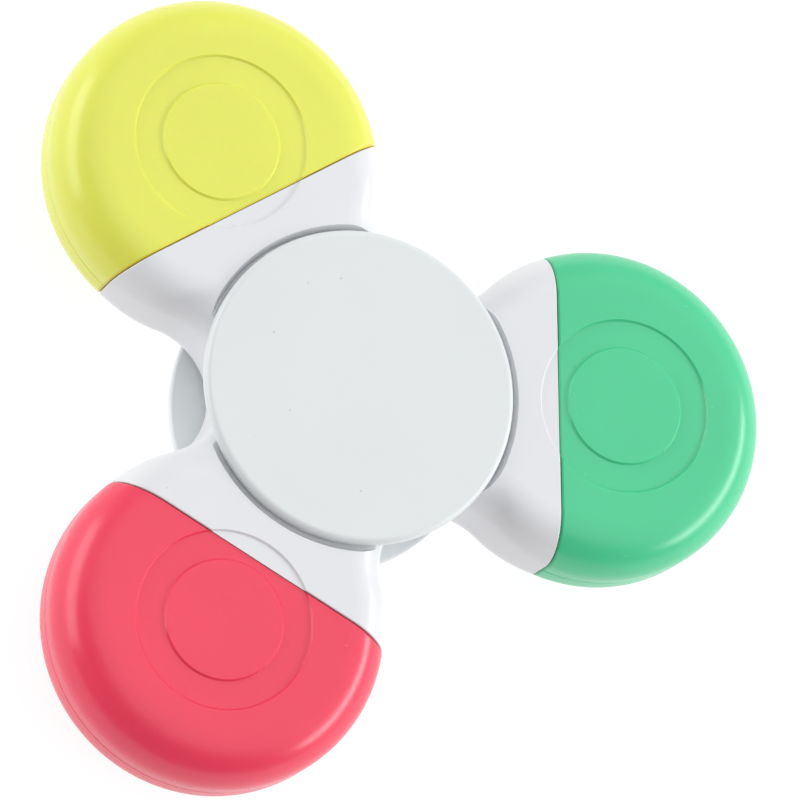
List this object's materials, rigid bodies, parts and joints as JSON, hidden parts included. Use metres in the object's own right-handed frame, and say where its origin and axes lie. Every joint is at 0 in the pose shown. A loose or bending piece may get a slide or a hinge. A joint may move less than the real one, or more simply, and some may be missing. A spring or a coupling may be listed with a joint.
{
  "type": "fidget spinner",
  "caption": "Three-armed fidget spinner whose round arm ends are pull-off caps over highlighter nibs, with plain finger pads on a central ball bearing.",
  "frame": {"origin": "centre of the rear finger pad's outer face, on the spin axis", "axes": "+Z along the spin axis towards the front pad; +X along the green arm; the yellow arm at 120 degrees and the pink arm at 240 degrees about +Z"},
  "size_m": [0.0794, 0.0862, 0.0151],
  "materials": {
    "pad_plastic": "smooth satin",
    "body_plastic": "smooth satin",
    "liner_plastic": "natural",
    "barrel_plastic": "smooth",
    "ground_steel": "ground",
    "pressed_steel": "pressed",
    "polished_steel": "polished",
    "green_plastic": "smooth satin",
    "green_felt": "felt",
    "green_fibre": "fibre",
    "yellow_plastic": "smooth satin",
    "yellow_felt": "felt",
    "yellow_fibre": "fibre",
    "pink_plastic": "smooth satin",
    "pink_felt": "felt",
    "pink_fibre": "fibre"
  },
  "bodies": {
    "pads": {"front_finger_pad": "pad_plastic", "rear_finger_pad": "pad_plastic", "bearing_inner_race": "ground_steel"},
    "rotor": {"body_front_shell": "body_plastic", "body_rear_shell": "body_plastic", "bearing_outer_race": "ground_steel", "bearing_shield_front": "pressed_steel", "bearing_shield_rear": "pressed_steel", "nib_barrel_green": "barrel_plastic", "nib_green": "green_felt", "ink_reservoir_green": "green_fibre", "barrel_plug_green": "barrel_plastic", "nib_barrel_yellow": "barrel_plastic", "nib_yellow": "yellow_felt", "ink_reservoir_yellow": "yellow_fibre", "barrel_plug_yellow": "barrel_plastic", "nib_barrel_pink": "barrel_plastic", "nib_pink": "pink_felt", "ink_reservoir_pink": "pink_fibre", "barrel_plug_pink": "barrel_plastic"},
    "cage": {"bearing_cage": "pressed_steel"},
    "ball_1": {"bearing_ball_1": "polished_steel"},
    "ball_2": {"bearing_ball_2": "polished_steel"},
    "ball_3": {"bearing_ball_3": "polished_steel"},
    "ball_4": {"bearing_ball_4": "polished_steel"},
    "ball_5": {"bearing_ball_5": "polished_steel"},
    "ball_6": {"bearing_ball_6": "polished_steel"},
    "ball_7": {"bearing_ball_7": "polished_steel"},
    "green_cap_unit": {"cap_green": "green_plastic", "cap_liner_green": "liner_plastic"},
    "yellow_cap_unit": {"cap_yellow": "yellow_plastic", "cap_liner_yellow": "liner_plastic"},
    "pink_cap_unit": {"cap_pink": "pink_plastic", "cap_liner_pink": "liner_plastic"}
  },
  "joints": [
    {"name": "rotor_spin", "type": "hinge", "parent": "pads", "child": "rotor", "pos_m": [0, 0, 0.00755], "axis": [0, 0, 1], "continuous": true},
    {"name": "cage_spin", "type": "hinge", "parent": "pads", "child": "cage", "pos_m": [0, 0, 0.00755], "axis": [0, 0, 1], "continuous": true},
    {"name": "ball_1_spin", "type": "hinge", "parent": "cage", "child": "ball_1", "pos_m": [0.0075, 0, 0.00755], "axis": [0, 0, 1], "continuous": true},
    {"name": "ball_2_spin", "type": "hinge", "parent": "cage", "child": "ball_2", "pos_m": [0.00468, 0.00586, 0.00755], "axis": [0, 0, 1], "continuous": true},
    {"name": "ball_3_spin", "type": "hinge", "parent": "cage", "child": "ball_3", "pos_m": [-0.00167, 0.00731, 0.00755], "axis": [0, 0, 1], "continuous": true},
    {"name": "ball_4_spin", "type": "hinge", "parent": "cage", "child": "ball_4", "pos_m": [-0.00676, 0.00325, 0.00755], "axis": [0, 0, 1], "continuous": true},
    {"name": "ball_5_spin", "type": "hinge", "parent": "cage", "child": "ball_5", "pos_m": [-0.00676, -0.00325, 0.00755], "axis": [0, 0, 1], "continuous": true},
    {"name": "ball_6_spin", "type": "hinge", "parent": "cage", "child": "ball_6", "pos_m": [-0.00167, -0.00731, 0.00755], "axis": [0, 0, 1], "continuous": true},
    {"name": "ball_7_spin", "type": "hinge", "parent": "cage", "child": "ball_7", "pos_m": [0.00468, -0.00586, 0.00755], "axis": [0, 0, 1], "continuous": true},
    {"name": "green_cap_pull", "type": "slide", "parent": "rotor", "child": "green_cap_unit", "axis": [1, 0, 0], "range_m": [0, 0.03]},
    {"name": "yellow_cap_pull", "type": "slide", "parent": "rotor", "child": "yellow_cap_unit", "axis": [-0.5, 0.866, 0], "range_m": [0, 0.03]},
    {"name": "pink_cap_pull", "type": "slide", "parent": "rotor", "child": "pink_cap_unit", "axis": [-0.5, -0.866, 0], "range_m": [0, 0.03]}
  ],
  "couplings": [
    {"joint": "cage_spin", "follows": "rotor_spin", "ratio": 0.63227},
    {"joint": "ball_1_spin", "follows": "rotor_spin", "ratio": 1.7579},
    {"joint": "ball_2_spin", "follows": "rotor_spin", "ratio": 1.7579},
    {"joint": "ball_3_spin", "follows": "rotor_spin", "ratio": 1.7579},
    {"joint": "ball_4_spin", "follows": "rotor_spin", "ratio": 1.7579},
    {"joint": "ball_5_spin", "follows": "rotor_spin", "ratio": 1.7579},
    {"joint": "ball_6_spin", "follows": "rotor_spin", "ratio": 1.7579},
    {"joint": "ball_7_spin", "follows": "rotor_spin", "ratio": 1.7579}
  ]
}
